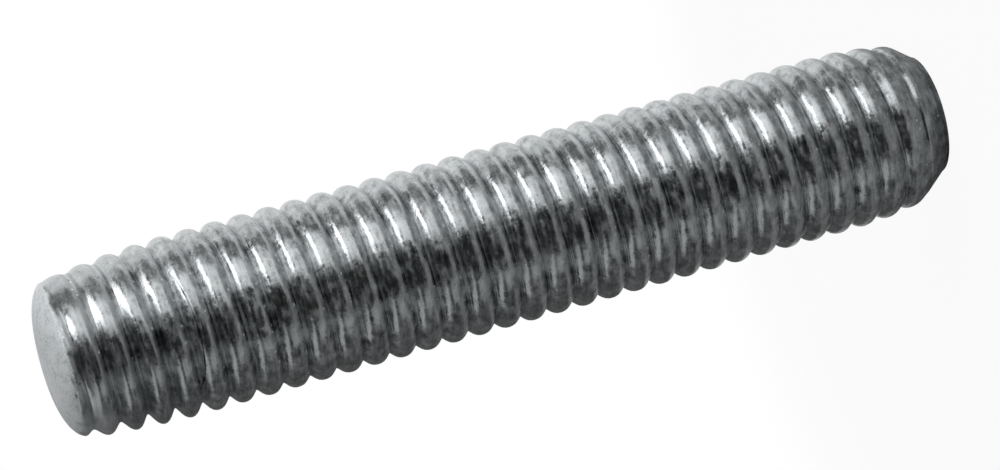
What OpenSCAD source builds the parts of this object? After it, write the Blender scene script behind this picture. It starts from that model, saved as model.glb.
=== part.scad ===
// Fully threaded rod, M10 x 1.5, about 50 mm long, with a domed top end, a chamfered bottom end
// and a rolled lead at each.
// Millimetres. +Z runs up the rod's axis and the origin is the middle of the bottom end face.

/* [Thread] */
// Outside diameter over the full crests
major_d = 9.82; // [9.74:0.01:9.96]
// Distance from one crest to the next
pitch = 1.5; // [1.4:0.05:1.6]
// Radius of the rounded crest
crest_r = 0.62; // [0.50:0.01:0.70]
// Radius of the rounded root
root_r = 0.14; // [0.08:0.01:0.20]
// Slope of the flanks, measured from a plane across the axis
flank_a = 47; // [40:1:52]
// Angle about +Z, from +X, at which the crest starts on the bottom end face
start_a = 29; // [0:1:359]

/* [Rod] */
// Length over both end faces
rod_l = 51; // [30:0.1:60]

/* [Lead] */
// How much lower the crest is at an end face than along the rod
crest_drop = 0.81; // [0.5:0.01:0.9]
// How much lower the root is at an end face than along the rod
root_drop = 0.38; // [0.3:0.01:0.42]

/* [Top end] */
// Diameter of the small flat in the middle of the dome
top_flat_d = 2.4; // [1.6:0.1:4]
// Diameter of the dome's rim, where it meets the first thread
top_dome_d = 8.7; // [8.3:0.05:8.8]
// Height of the dome
top_dome_h = 1.3; // [0.6:0.05:1.6]
// Length over which the thread comes up to its full size
top_lead_l = 8.8; // [3:0.1:12]
// How much sooner the crests come up on the -X side of that end
top_skew = 1; // [0:0.1:3]
// How much later the roots come up on that side
top_deep = 5; // [0:0.1:6]

/* [Bottom end] */
// Diameter of the flat face
bottom_face_d = 6.5; // [5.6:0.1:7.4]
// Diameter of the chamfer where it meets the first thread
bottom_chamfer_d = 8.7; // [8.3:0.05:8.8]
// Height of the chamfer at that diameter
bottom_chamfer_h = 1.4; // [0.4:0.05:1.5]
// Length over which the thread comes up to its full size
bottom_lead_l = 5.8; // [3:0.1:12]

/* [Hidden] */
turn_steps = 28;
major_r = major_d / 2;
// Straight flanks, ended by an arc at the crest and an arc at the root.
arc_gain = 1 / sin(flank_a) - 1;
thread_h = pitch / 2 / tan(flank_a) - (crest_r + root_r) * arc_gain;
root_rad = major_r - thread_h;
// Where the profile is sampled, in pitches from a crest: crest, shoulders and both edges of the root.
samples = [0, 0.22, 0.46, 0.54, 0.78];
m = len(samples);
// The thread is made longer than the rod at each end, and the blank cuts it off.
turns = ceil(rod_l / pitch + start_a / 360 + 1.25);
rows = m * turns;
steel = [0.70, 0.71, 0.72];

// Radius of the full thread at a millimetres along the axis from a crest.
function full_r(a) =
    a <= crest_r * cos(flank_a) ? major_r - crest_r + sqrt(crest_r * crest_r - a * a)
  : pitch / 2 - a <= root_r * cos(flank_a)
    ? root_rad + root_r - sqrt(root_r * root_r - (pitch / 2 - a) * (pitch / 2 - a))
  : major_r + crest_r * arc_gain - a / tan(flank_a);

// 1 at an end face, falling in a curve to 0 at a distance of len.
function fall(d, len) = let (t = 1 - max(0, d) / len) t > 0 ? t * t : 0;

// Radius at height z and angle a of a thread point s pitches from its crest, lowered near the ends.
function rod_r(z, a, s) =
    let (r = full_r(min(s, 1 - s) * pitch), h = (r - root_rad) / thread_h,
         d = rod_l - z, side = (1 - cos(a)) / 2, low = fall(z, bottom_lead_l),
         crest_lead = max(low, fall(d + top_skew * side, top_lead_l)),
         root_lead = max(low, fall(d - top_deep * side, top_lead_l)))
    r - crest_lead * crest_drop * h - root_lead * root_drop * (1 - h);

// Point i along the helix's profile, on spoke c of one turn.
function thread_point(c, i) =
    let (s = samples[i % m], a = 360 * c / turn_steps,
         z = pitch * (floor(i / m) + s - 1 + (a - start_a) / 360),
         r = rod_r(z, a, s))
    [r * cos(a), r * sin(a), z];

// Number of that point; past the last spoke it is the first one again, a pitch higher.
function at(c, i) = c < turn_steps ? c * rows + i : i + m;

// The helical thread as one closed skin, with caps beyond the rod's ends.
module thread() {
    last = turn_steps - 1;
    low = turn_steps * rows;
    high = low + 1;
    points = concat(
        [for (c = [0 : last]) for (i = [0 : rows - 1]) thread_point(c, i)],
        [[0, 0, -1.5 * pitch], [0, 0, (turns - 1) * pitch]]);
    wall = [for (c = [0 : last]) for (i = [0 : rows - (c == last ? m : 0) - 2]) each
        [[at(c, i), at(c, i + 1), at(c + 1, i + 1)],
         [at(c, i), at(c + 1, i + 1), at(c + 1, i)]]];
    // Each cap is a fan, which also closes the step of one pitch where the turn ends.
    low_cap = concat(
        [for (c = [0 : last]) [low, at(c, 0), at(c + 1, 0)]],
        [for (i = [0 : m - 1]) [low, i + 1, i]]);
    high_cap = concat(
        [for (c = [0 : last - 1]) [high, at(c + 1, rows - 1), at(c, rows - 1)]],
        [for (i = [rows - m - 1 : rows - 2]) [high, at(last, i), at(last, i + 1)]],
        [[high, rows - 1, at(last, rows - m - 1)]]);
    polyhedron(points = points, faces = concat(wall, low_cap, high_cap), convexity = 10);
}

// The bar the thread is on: its ends cut the thread, and its side stays clear of it.
module blank() {
    side_r = major_r + 0.2;
    face_r = bottom_face_d / 2;
    rim_r = top_dome_d / 2;
    flat_r = top_flat_d / 2;
    cone_h = bottom_chamfer_h * (side_r - face_r) / (bottom_chamfer_d / 2 - face_r);
    // A quarter ellipse from the rim in to the flat.
    dome = [for (t = [0 : 18 : 90])
        [flat_r + (rim_r - flat_r) * cos(t), rod_l - top_dome_h * (1 - sin(t))]];
    rotate_extrude($fn = 84)
        polygon(concat(
            [[0, 0], [face_r, 0], [side_r, cone_h],
             [side_r, rod_l - top_dome_h - (side_r - rim_r)]],
            dome,
            [[0, rod_l]]));
}

module threaded_rod() {
    color(steel) intersection() {
        blank();
        thread();
    }
}

threaded_rod();
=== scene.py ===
import math
import random

import bpy
from mathutils import Matrix, Vector, noise

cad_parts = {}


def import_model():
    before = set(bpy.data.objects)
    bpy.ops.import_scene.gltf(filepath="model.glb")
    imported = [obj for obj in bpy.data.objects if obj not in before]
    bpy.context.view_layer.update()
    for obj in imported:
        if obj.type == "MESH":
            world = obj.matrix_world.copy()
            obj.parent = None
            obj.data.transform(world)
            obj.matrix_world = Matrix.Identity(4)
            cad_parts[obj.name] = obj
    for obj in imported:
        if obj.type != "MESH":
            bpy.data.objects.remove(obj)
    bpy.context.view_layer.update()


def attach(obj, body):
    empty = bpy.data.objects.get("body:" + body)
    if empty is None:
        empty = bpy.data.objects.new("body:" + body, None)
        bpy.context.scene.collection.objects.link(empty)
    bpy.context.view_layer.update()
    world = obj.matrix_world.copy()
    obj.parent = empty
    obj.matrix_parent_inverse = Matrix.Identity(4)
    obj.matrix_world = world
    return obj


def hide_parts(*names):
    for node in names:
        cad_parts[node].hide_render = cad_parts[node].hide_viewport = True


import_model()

MM = 0.001

# The rod's measures, as in the part's source.
PITCH = 1.5 * MM
MAJOR_R = 4.91 * MM
CREST_R = 0.62 * MM
ROOT_R = 0.14 * MM
FLANK_A = math.radians(47)
ROD_L = 51 * MM
START_A = math.radians(29)
CREST_DROP = 0.81 * MM
ROOT_DROP = 0.38 * MM
BOTTOM = dict(face_r=3.25 * MM, chamfer_r=4.35 * MM, chamfer_h=1.4 * MM, lead=5.8 * MM)
TOP = dict(flat_r=1.2 * MM, dome_r=4.35 * MM, dome_h=1.3 * MM, lead=8.8 * MM,
           skew=1 * MM, deep=5 * MM)
ARC_GAIN = 1 / math.sin(FLANK_A) - 1
THREAD_H = PITCH / 2 / math.tan(FLANK_A) - (CREST_R + ROOT_R) * ARC_GAIN
ROOT_RAD = MAJOR_R - THREAD_H

# The mesh: spokes in a turn, samples of the profile in a pitch, and how far the samples gather
# at the roots.
SPOKES = 184
SAMPLES = 15
GATHER = 0.55
# The thread is sampled over this many turns more than the rod has. Samples past an end, or this
# near to it, become one point on that end's rim.
SPARE_TURNS = 1.25
NEAR = 1e-8
# The dome is made in rings down to this share of its height, and the thread's skin makes the rest.
DOME_RINGS = 14
DOME_SHARE = 0.6
# The rounded edge of the bottom face: its height, its reach inwards as a share of that, its rings.
EDGE_H = 0.12 * MM
EDGE_REACH = 0.6
EDGE_RINGS = 4
# A face that looks this straight up or down is shaded flat.
FLAT = 0.99999

# From here to the dents is wear and unevenness, which the part's source leaves out.

# How softly the thread runs into the chamfer and into the dome.
CHAMFER_BLEND = 0.12 * MM
DOME_BLEND = 0.05 * MM
# The chamfer leans: it is this much lower on the +X side, and as much higher on the -X side.
LEAN = 0.2 * MM
# On the +X side the last groove before the chamfer is filled, this much and over this length.
FILL = 0.45 * MM
FILL_L = 2.2 * MM
# How far the middle of a flank stands out from straight.
BULGE = 0.02 * MM
# Towards the top end the thread was rolled softer: over this length, and at the end itself with
# this share of a plain wave.
SOFT_L = 9 * MM
SOFT_SHARE = 0.75
# The skin wavers by up to this much, in patches of about this size.
WAVER = 0.018 * MM
WAVER_L = 1.1 * MM
# The small dents: how many, the seed of their places, how far they stray from the crest's line in
# pitches, and the ranges of their depth and of their reach round and along the rod, in millimetres.
DENTS = 90
DENT_SEED = 11
DENT_STRAY = 0.12
DENT_DEPTH = (0.012, 0.05)
DENT_WIDE = (0.3, 0.8)
DENT_HIGH = (0.18, 0.35)


# ---------------------------------------------------------------- the rod

def full_r(a):
    """Radius of the full thread at a metres along the axis from a crest."""
    if a <= CREST_R * math.cos(FLANK_A):
        return MAJOR_R - CREST_R + math.sqrt(CREST_R ** 2 - a ** 2)
    b = PITCH / 2 - a
    if b <= ROOT_R * math.cos(FLANK_A):
        return ROOT_RAD + ROOT_R - math.sqrt(ROOT_R ** 2 - b ** 2)
    return MAJOR_R + CREST_R * ARC_GAIN - a / math.tan(FLANK_A)


def fall(d, length):
    """1 at an end face, falling in a curve to 0 at a distance of length from it."""
    t = 1 - max(0.0, d) / length
    return t * t if t > 0 else 0.0


def soft_min(a, b, k):
    """The smaller of a and b, rounded off where they are less than k apart."""
    h = max(k - abs(a - b), 0.0) / k
    return min(a, b) - h * h * k / 4


def chamfer_r(z, a):
    """Radius of the bottom end's leaning chamfer at height z and angle a."""
    width = BOTTOM["chamfer_r"] - BOTTOM["face_r"]
    return BOTTOM["face_r"] + width * (z + LEAN * math.cos(a)) / BOTTOM["chamfer_h"]


def dome_r(d):
    """Radius of the top end at depth d: a quarter ellipse out from its small flat, then a cone."""
    if d > TOP["dome_h"]:
        return TOP["dome_r"] + d - TOP["dome_h"]
    t = 1 - max(d, 0.0) / TOP["dome_h"]
    return TOP["flat_r"] + (TOP["dome_r"] - TOP["flat_r"]) * math.sqrt(1 - t * t)


def rod_r(z, s, a):
    """Radius at height z and angle a, where s is the phase of the thread: 0 at a crest."""
    d = ROD_L - z
    r = full_r(min(s, 1 - s) * PITCH)
    # A plain wave of the same height is mixed in towards the top end.
    wave = ROOT_RAD + THREAD_H * (0.5 + 0.5 * math.cos(math.tau * s))
    r += (wave - r) * SOFT_SHARE * math.sqrt(fall(d, SOFT_L))
    # How far out this is on the thread: 0 at a root and 1 at a crest.
    h = (r - ROOT_RAD) / THREAD_H
    r += 4 * BULGE * h * (1 - h)
    h = (r - ROOT_RAD) / THREAD_H
    # Near the ends the crests are lower and the roots deeper, and not alike on the -X side.
    side = (1 - math.cos(a)) / 2
    low = fall(z, BOTTOM["lead"])
    crest_lead = max(low, fall(d + TOP["skew"] * side, TOP["lead"]))
    root_lead = max(low, fall(d - TOP["deep"] * side, TOP["lead"]))
    r -= crest_lead * CREST_DROP * h + root_lead * ROOT_DROP * (1 - h)
    r += FILL * max(0.0, math.cos(a)) ** 2 * fall(z, FILL_L) ** 0.5 * (1 - h)
    r = soft_min(soft_min(r, chamfer_r(z, a), CHAMFER_BLEND), dome_r(d), DOME_BLEND)
    x, y = math.cos(a) * MAJOR_R, math.sin(a) * MAJOR_R
    return r - WAVER * (0.5 + 0.5 * noise.noise(Vector((x, y, z)) / WAVER_L))


def make_dents():
    """Small dents on the crests, listed by the pitches that they reach."""
    rand = random.Random(DENT_SEED)
    dents = {}
    for _ in range(DENTS):
        a = rand.uniform(0, math.tau)
        z = PITCH * (rand.randrange(1, int(ROD_L / PITCH)) + (a - START_A) / math.tau % 1)
        z += rand.gauss(0, DENT_STRAY) * PITCH
        depth = rand.uniform(*DENT_DEPTH) * MM
        wide = rand.uniform(*DENT_WIDE) * MM
        high = rand.uniform(*DENT_HIGH) * MM
        for k in {int((z - high) / PITCH), int((z + high) / PITCH)}:
            dents.setdefault(k, []).append((a, z, depth, wide, high))
    return dents


def dent_depth(dents, a, z):
    """How far the dents push the skin in at angle a and height z."""
    deep = 0.0
    for dent_a, dent_z, depth, wide, high in dents.get(int(z / PITCH), ()):
        u = ((a - dent_a + math.pi) % math.tau - math.pi) * MAJOR_R / wide
        v = (z - dent_z) / high
        if abs(u) < 1 and abs(v) < 1:
            deep = max(deep, depth * (1 - u * u) ** 2 * (1 - v * v) ** 2)
    return deep


def phase(i):
    """Phase of sample i, counted on through the turns, with the samples gathered at the roots."""
    return i / SAMPLES + GATHER * math.sin(math.tau * i / SAMPLES) / math.tau


def thread_skin(low, high):
    """The thread from height low to high: its corners, its faces, and the corners of both rims."""
    turns = math.ceil(ROD_L / PITCH + START_A / math.tau + SPARE_TURNS)
    rows = SAMPLES * turns
    dents = make_dents()
    verts, faces, index = [], [], {}

    def vert(c, i):
        """Sample i on spoke c; everything past an end is one point on that end's rim."""
        if c >= SPOKES:
            c, i = c - SPOKES, i + SAMPLES
        a = math.tau * c / SPOKES
        z = PITCH * (phase(i) - 1 + (a - START_A) / math.tau)
        key = (c, "low") if z <= low + NEAR else (c, "high") if z >= high - NEAR else (c, i)
        if key not in index:
            z = min(max(z, low), high)
            r = rod_r(z, (z / PITCH - (a - START_A) / math.tau) % 1, a) - dent_depth(dents, a, z)
            index[key] = len(verts)
            verts.append((r * math.cos(a), r * math.sin(a), z))
        return index[key]

    for c in range(SPOKES):
        # The last spoke meets the first one a turn higher, so it ends a turn sooner.
        last = rows - 1 - (SAMPLES if c == SPOKES - 1 else 0)
        for i in range(last):
            loop = [vert(c, i), vert(c + 1, i), vert(c + 1, i + 1), vert(c, i + 1)]
            loop = [v for k, v in enumerate(loop) if v != loop[k - 1]]
            if len(set(loop)) >= 3:
                faces.append(loop)
    rims = [[index[(c, end)] for c in range(SPOKES)] for end in ("low", "high")]
    return verts, faces, rims


def close_end(verts, faces, rim, rings, up):
    """Close an end from its rim inwards. A ring is a share of the rim's radius, and a height."""
    def add(*face):
        faces.append(face if up else face[::-1])

    outer = rim
    for share, z in rings:
        inner = range(len(verts), len(verts) + SPOKES)
        verts += [(verts[v][0] * share, verts[v][1] * share, z) for v in rim]
        for c in range(SPOKES):
            d = (c + 1) % SPOKES
            add(outer[c], outer[d], inner[d], inner[c])
        outer = inner
    centre = len(verts)
    verts.append((0, 0, rings[-1][1]))
    for c in range(SPOKES):
        add(outer[c], outer[(c + 1) % SPOKES], centre)


def rod_mesh(name):
    """The whole rod as one closed mesh."""
    high = ROD_L - DOME_SHARE * TOP["dome_h"]
    verts, faces, (low_rim, high_rim) = thread_skin(EDGE_H, high)
    edge = []
    for k in range(1, EDGE_RINGS + 1):
        t = k / EDGE_RINGS * math.pi / 2
        edge.append((1 - EDGE_H * (1 - math.cos(t)) * EDGE_REACH / BOTTOM["face_r"],
                     EDGE_H * (1 - math.sin(t))))
    dome = []
    for k in range(1, DOME_RINGS + 1):
        d = (ROD_L - high) * (1 - k / DOME_RINGS) ** 2
        dome.append((dome_r(d) / dome_r(ROD_L - high), ROD_L - d))
    close_end(verts, faces, low_rim, edge, False)
    close_end(verts, faces, high_rim, dome, True)
    mesh = bpy.data.meshes.new(name)
    mesh.from_pydata(verts, [], faces)
    mesh.validate()
    for p in mesh.polygons:
        p.use_smooth = abs(p.normal.z) < FLAT
    return mesh


# ---------------------------------------------------------------- node helpers

class Nodes:
    """Short calls for building a node tree."""

    def __init__(self, tree):
        self.tree = tree

    def add(self, kind, props=None, **inputs):
        """A new node. i0, i1 and so on name its inputs by number, and other words by name."""
        node = self.tree.nodes.new(kind)
        for key, value in (props or {}).items():
            setattr(node, key, value)
        for key, value in inputs.items():
            numbered = key[0] == "i" and key[1:].isdigit()
            self.put(node.inputs[int(key[1:]) if numbered else key.replace("_", " ")], value)
        return node

    def put(self, socket, value):
        """Link value to the socket if it is another socket, and otherwise write it there."""
        if isinstance(value, bpy.types.NodeSocket):
            self.tree.links.new(value, socket)
        else:
            socket.default_value = value

    def math(self, op, a, b=0.0, c=0.0):
        return self.add("ShaderNodeMath", dict(operation=op), i0=a, i1=b, i2=c).outputs[0]

    def total(self, first, *terms):
        """First plus each term, which is a value and its weight."""
        for value, weight in terms:
            first = self.math("MULTIPLY_ADD", value, weight, first)
        return first

    def vector(self, op, a, output="Vector", **inputs):
        """Vector maths on a; the result that is a plain number is the output Value."""
        return self.add("ShaderNodeVectorMath", dict(operation=op), i0=a, **inputs).outputs[output]

    def ramp(self, value, lo, hi, to_lo=0.0, to_hi=1.0):
        """Smooth step of value from lo to hi."""
        return self.add("ShaderNodeMapRange", dict(interpolation_type="SMOOTHSTEP"), Value=value,
                        From_Min=lo, From_Max=hi, To_Min=to_lo, To_Max=to_hi).outputs[0]

    def noise(self, vector, scale, detail, rough):
        """Noise from -0.5 to 0.5."""
        node = self.add("ShaderNodeTexNoise", None, Vector=vector, Scale=scale, Detail=detail,
                        Roughness=rough)
        return self.math("SUBTRACT", node.outputs[0], 0.5)


def blank_nodes(tree):
    """Short calls for a tree, once it has been emptied."""
    tree.nodes.clear()
    return Nodes(tree)


# ---------------------------------------------------------------- camera

# Its elevation as seen from its aim, and its roll; the height on the rod that it is aimed at, and
# its distance from there; its lens and the shift of its picture.
ELEVATION = math.radians(12.51)
ROLL = 0.2723
AIM_Z = 25.85 * MM
CAMERA_AWAY = 221.5 * MM
LENS = 146.7
SHIFT = (0.0105, 0.0041)


def camera():
    """The photo's view: the rod lies across the picture, with its top end near and on the left."""
    back = Vector((0, -math.cos(ELEVATION), math.sin(ELEVATION)))
    along = Vector((0, -math.sin(ELEVATION), -math.cos(ELEVATION)))
    down = Vector((-1, 0, 0))
    right = along * math.cos(ROLL) + down * math.sin(ROLL)
    up = along * math.sin(ROLL) - down * math.cos(ROLL)
    cam = bpy.data.cameras.new("camera")
    cam.sensor_width = 36
    cam.lens = LENS
    cam.shift_x, cam.shift_y = SHIFT
    cam.clip_start = 0.01
    obj = bpy.data.objects.new("camera", cam)
    place = Vector((0, 0, AIM_Z)) + back * CAMERA_AWAY
    matrix = Matrix.Identity(4)
    for col, axis in enumerate((right, up, back, place)):
        for row in range(3):
            matrix[row][col] = axis[row]
    obj.matrix_world = matrix
    bpy.context.collection.objects.link(obj)
    bpy.context.scene.camera = obj


# ---------------------------------------------------------------- light

# What stands round the rod: the turn of its middle in degrees from the camera's side towards +X,
# how far to each side it reaches, and how far to each side it is at its full strength.
BACKDROP = dict(turn=145, outer=39, inner=33)
WALL = dict(turn=88, outer=38, inner=25)
CARD = dict(turn=-17, outer=38, inner=26)
# The backdrop's top edge fades between these heights on a sphere of radius 1.
BACKDROP_TOP = (0.67, 0.57)
# Brightness of the room, and what the pale wall, the black card and the backdrop change in it.
ROOM_LEVEL = 0.11
WALL_LEVEL = 0.16
CARD_LEVEL = -0.08
BACKDROP_LEVEL = 0.5
# The floor's radius, its colour, and how much of it is plain white where it is seen.
FLOOR_R = 55 * MM
FLOOR_GREY = 0.62
FLOOR_WHITE = 0.94
# Distance of the lamps from the rod's middle.
LAMP_AWAY = 0.40


def bearing(turn, elevation=0.0):
    """Direction turn degrees round the rod from the camera's side to +X, elevation degrees up."""
    t, e = math.radians(turn), math.radians(elevation)
    return Vector((math.sin(t) * math.cos(e), -math.cos(t) * math.cos(e), math.sin(e)))


def softbox(name, turn, elevation, width, height, level):
    """A rectangular lamp aimed at the rod's middle; level is its brightness, where 1 is white."""
    middle = Vector((0, 0, ROD_L / 2))
    lamp = bpy.data.lights.new(name, "AREA")
    lamp.shape = "RECTANGLE"
    lamp.size, lamp.size_y = width, height
    lamp.energy = level * math.pi * width * height
    obj = bpy.data.objects.new(name, lamp)
    obj.location = middle + bearing(turn, elevation) * LAMP_AWAY
    obj.rotation_euler = (middle - obj.location).to_track_quat("-Z", "Y").to_euler()
    obj.visible_camera = False
    bpy.context.collection.objects.link(obj)


def shown_white(n, mirrored):
    """1 for what the camera sees, and mirrored for what metal or glass shows."""
    path = n.add("ShaderNodeLightPath").outputs
    mirror = n.math("MAXIMUM", path["Is Glossy Ray"], path["Is Transmission Ray"])
    return n.math("MAXIMUM", path["Is Camera Ray"], n.math("MULTIPLY", mirror, mirrored))


def world():
    """A grey room, with a white backdrop, a pale wall beside it and a black card by the camera."""
    studio = bpy.data.worlds.new("studio")
    bpy.context.scene.world = studio
    studio.use_nodes = True
    n = blank_nodes(studio.node_tree)
    way = n.add("ShaderNodeTexCoord").outputs["Generated"]
    flat_way = n.vector("NORMALIZE", n.vector("MULTIPLY", way, i1=(1, 1, 0)))

    def lobe(turn, outer, inner):
        """1 within inner degrees of a turn round the rod, fading to 0 at outer degrees."""
        dot = n.vector("DOT_PRODUCT", flat_way, "Value", i1=bearing(turn))
        return n.ramp(dot, math.cos(math.radians(outer)), math.cos(math.radians(inner)))

    up = n.add("ShaderNodeSeparateXYZ", None, Vector=way).outputs[2]
    backdrop = n.math("MULTIPLY", lobe(**BACKDROP), n.ramp(up, *BACKDROP_TOP))
    room = n.total(ROOM_LEVEL, (lobe(**WALL), WALL_LEVEL), (lobe(**CARD), CARD_LEVEL),
                   (backdrop, BACKDROP_LEVEL))
    level = n.math("MAXIMUM", shown_white(n, backdrop), room)
    light = n.add("ShaderNodeBackground", None, Color=(1, 1, 1, 1), Strength=level).outputs[0]
    n.add("ShaderNodeOutputWorld", None, Surface=light)


def floor(radius):
    """A pale floor that fades out towards its rim. Metal shows it white on the backdrop's side."""
    bpy.ops.mesh.primitive_circle_add(vertices=96, radius=radius, fill_type="NGON")
    obj = bpy.context.object
    obj.name = "floor"
    mat = bpy.data.materials.new("floor_white")
    mat.use_nodes = True
    n = blank_nodes(mat.node_tree)
    place = n.add("ShaderNodeTexCoord").outputs["Object"]
    behind = n.vector("DOT_PRODUCT", place, "Value", i1=bearing(BACKDROP["turn"]))
    seen = shown_white(n, n.ramp(behind, 0.0, radius * 0.5))
    matte = n.add("ShaderNodeBsdfDiffuse", None, Color=(FLOOR_GREY,) * 3 + (1,)).outputs[0]
    white = n.add("ShaderNodeEmission", None, Color=(1, 1, 1, 1), Strength=1.0).outputs[0]
    body = n.add("ShaderNodeMixShader", None, i0=n.math("MULTIPLY", seen, FLOOR_WHITE), i1=matte,
                 i2=white).outputs[0]
    edge = n.ramp(n.vector("LENGTH", place, "Value"), radius * 0.6, radius)
    clear = n.add("ShaderNodeBsdfTransparent").outputs[0]
    shader = n.add("ShaderNodeMixShader", None, i0=edge, i1=body, i2=clear).outputs[0]
    n.add("ShaderNodeOutputMaterial", None, Surface=shader)
    obj.data.materials.append(mat)


# ---------------------------------------------------------------- zinc

# Its colour before it is mottled. Lengths in the material are in millimetres.
ZINC = (0.485, 0.51, 0.52)
# The heights over which the dome turns matte, along a ragged line, and the bottom face.
DOME_MATTE = ((ROD_L - 1.1 * MM) / MM, (ROD_L - 0.7 * MM) / MM)
FACE_MATTE = (0.04, 0.0)
# The heights over which the finish gets calmer towards the top end.
CALM_Z = (44, 50)
# Where the first threads at the top end are scuffed: up from these heights, and out along -X.
SCUFF_Z = (47.4, 49.2)
SCUFF_X = (-2.4, -4.2)
# The scratch: its height where it is lowest, its turn there in degrees from +X, how far it climbs
# to each side by the square of the degrees, and the degrees over which it fades in. Then how far
# the dark line and the light one reach to each side, and how far apart they are.
SCRATCH = dict(z=43.22, turn=-102, climb=0.0002, fade=(50, 36),
               dark=(0.045, 0.015), light=(0.05, 0.01), apart=0.07)
# How high a height of 1 stands in the relief, in metres.
RELIEF = 0.006 * MM


def thread_place(n):
    """Place in millimetres, its x and z, its turn round the rod, and its part and depth in the
    thread: part is 0.5 at a crest and 0 at a root, depth is 0 at a crest and 1 at a root."""
    place = n.vector("SCALE", n.add("ShaderNodeTexCoord").outputs["Object"], Scale=1 / MM)
    x, y, z = n.add("ShaderNodeSeparateXYZ", None, Vector=place).outputs
    angle = n.math("MULTIPLY", n.math("ARCTAN2", y, x), 1 / math.tau)
    turn = n.math("SUBTRACT", n.math("MULTIPLY", z, MM / PITCH), angle)
    # Half a turn more puts a crest at 0.5, and a hundred keep what FRACT takes above 0.
    part = n.math("FRACT", n.math("ADD", turn, START_A / math.tau + 100.5))
    depth = n.math("MULTIPLY", n.math("ABSOLUTE", n.math("SUBTRACT", part, 0.5)), 2.0)
    return place, x, z, angle, part, depth


def glints_and_pit_shade(n, place, part):
    """Where painted glints and painted shade in pits lie, in rows beside the roots on the flank that
    faces down, and how much brighter or darker than the zinc each of them is."""
    cell = n.add("ShaderNodeTexVoronoi", dict(feature="F1"), Vector=place, Scale=2.6).outputs
    painted_speck_spot = n.ramp(cell["Distance"], 0.26, 0.12)
    row = n.math("MULTIPLY", n.ramp(part, 0.08, 0.13), n.ramp(part, 0.28, 0.22))
    row = n.math("MULTIPLY", row, painted_speck_spot)
    # About four in ten are painted shade in pits, and the others are painted glints.
    dice = n.add("ShaderNodeSeparateColor", None, Color=cell["Color"]).outputs[0]
    return row, n.math("MULTIPLY", row, n.ramp(dice, 0.35, 0.45, -0.6, 1.3))


def scratch(n, angle, z):
    """A hairline round part of the front near the top end: a dark line, and a light one beside it."""
    swing = n.math("MULTIPLY_ADD", angle, 360, -SCRATCH["turn"])
    climb = n.math("MULTIPLY_ADD", n.math("MULTIPLY", swing, swing), SCRATCH["climb"], SCRATCH["z"])
    off = n.math("SUBTRACT", climb, z)
    near = n.ramp(n.math("ABSOLUTE", swing), *SCRATCH["fade"])
    dark = n.ramp(n.math("ABSOLUTE", off), *SCRATCH["dark"])
    beside = n.math("SUBTRACT", off, SCRATCH["apart"])
    light = n.ramp(n.math("ABSOLUTE", beside), *SCRATCH["light"])
    return n.math("MULTIPLY", dark, near), n.math("MULTIPLY", light, near)


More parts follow.
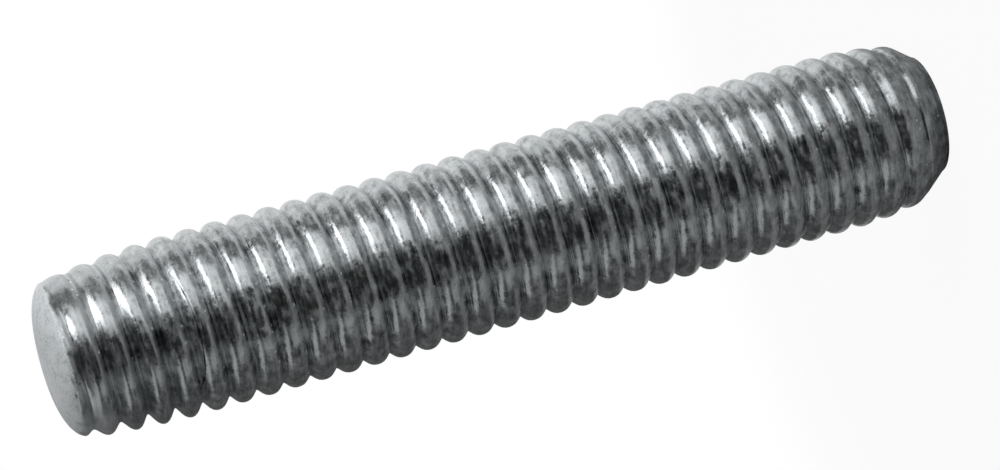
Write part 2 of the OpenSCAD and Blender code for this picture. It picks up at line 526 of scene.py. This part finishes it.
def zinc():
    """Zinc plating: fine grain, streaks drawn along the thread, painted glints and painted shade in
    pits, painted shade in the roots, a thin haze in patches, a scratch, scuffing, and matte end
    faces."""
    mat = bpy.data.materials.new("zinc")
    mat.use_nodes = True
    surface = mat.node_tree.nodes["Principled BSDF"].inputs
    n = Nodes(mat.node_tree)
    place, x, z, angle, part, depth = thread_place(n)
    grain = n.noise(place, 7.0, 3.0, 0.6)
    streak = n.noise(n.vector("MULTIPLY", place, i1=(0.9, 0.9, 6.5)), 1.0, 4.0, 0.6)
    blotch = n.noise(n.vector("MULTIPLY", place, i1=(1.5, 1.5, 3.2)), 1.0, 3.0, 0.6)
    cloud = n.noise(place, 1.5, 2.0, 0.5)

    # Each of these is 1 where the thing is and 0 elsewhere, but painted_specks is a change in
    # brightness, painted glints and painted shade in pits.
    # Flank is the one that faces down.
    ends = n.math("MAXIMUM", n.ramp(n.total(z, (blotch, 0.9)), *DOME_MATTE),
                  n.ramp(z, *FACE_MATTE))
    # Root is 1 in the grooves: it darkens their colour as painted shade, and roughens them.
    root = n.ramp(depth, 0.80, 0.95)
    row, painted_specks = glints_and_pit_shade(n, place, part)
    dark, light = scratch(n, angle, z)
    scuff = n.math("MULTIPLY", n.ramp(z, *SCUFF_Z), n.ramp(x, *SCUFF_X))
    flank = n.math("MULTIPLY", n.ramp(part, 0.10, 0.16), n.ramp(part, 0.36, 0.28))
    # How strong the mottling is.
    wild = n.ramp(z, *CALM_Z, 1.0, 0.5)

    # Colour: the roots are darkened with painted shade, and the end faces are paler and more even.
    mottle = n.total(0.0, (grain, 0.6), (streak, 1.2), (blotch, 1.5), (cloud, 1.2))
    tone = n.total(1.0, (mottle, wild), (root, -0.25), (painted_specks, 1.0), (dark, -0.7), (light, 0.45),
                   (scuff, 0.5))
    even = n.total(1.92, (cloud, 1.0), (grain, 2.0))
    tone = n.add("ShaderNodeMix", None, i0=ends, i2=tone, i3=even).outputs[0]
    n.put(surface["Base Color"], n.vector("SCALE", ZINC, Scale=tone))

    # Roughness: the flank that faces down is the roughest part, and the other one the smoothest.
    rough = n.total(n.ramp(depth, 0.35, 0.9, 0.28, 0.21), (grain, 0.15), (blotch, 0.4),
                    (cloud, 0.3), (streak, 0.4), (flank, 0.16), (row, 0.2), (root, 0.12),
                    (scuff, 0.25))
    n.put(surface["Roughness"], n.math("MAXIMUM", rough, n.math("MULTIPLY", ends, 0.7)))

    # A thin pale haze lies on the zinc in patches, and hides some of the metal as the ends do.
    patch = n.total(blotch, (cloud, 0.8), (streak, 0.6))
    haze = n.math("MULTIPLY", n.ramp(patch, -0.02, 0.20, 0.0, 0.3), wild)
    dull = n.math("MAXIMUM", ends, n.math("MAXIMUM", haze, n.math("MULTIPLY", scuff, 0.6)))
    n.put(surface["Metallic"], n.ramp(dull, 0.0, 1.0, 1.0, 0.4))

    height = n.total(0.0, (streak, 0.5), (grain, 0.2), (blotch, 2.0), (cloud, 5.0))
    bump = n.add("ShaderNodeBump", None, Strength=1.0, Distance=RELIEF,
                 Height=n.math("MULTIPLY", height, wild))
    n.put(surface["Normal"], bump.outputs[0])
    return mat


camera()
rod = bpy.data.objects.new("rod", rod_mesh("rod"))
bpy.context.collection.objects.link(rod)
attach(rod, "root")
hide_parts("threaded_rod")
rod.data.materials.append(zinc())

floor(FLOOR_R)
world()
softbox("key_low", 44, -22, 0.32, 0.42, 0.95)
softbox("key_high", 46, 24, 0.31, 0.25, 1.2)
softbox("top", 72, 59, 0.28, 0.15, 2.9)
softbox("fill_low", -56, -18, 0.18, 0.44, 0.36)
softbox("fill_high", -88, 44, 0.40, 0.12, 0.5)
bpy.context.scene.view_settings.view_transform = "Standard"
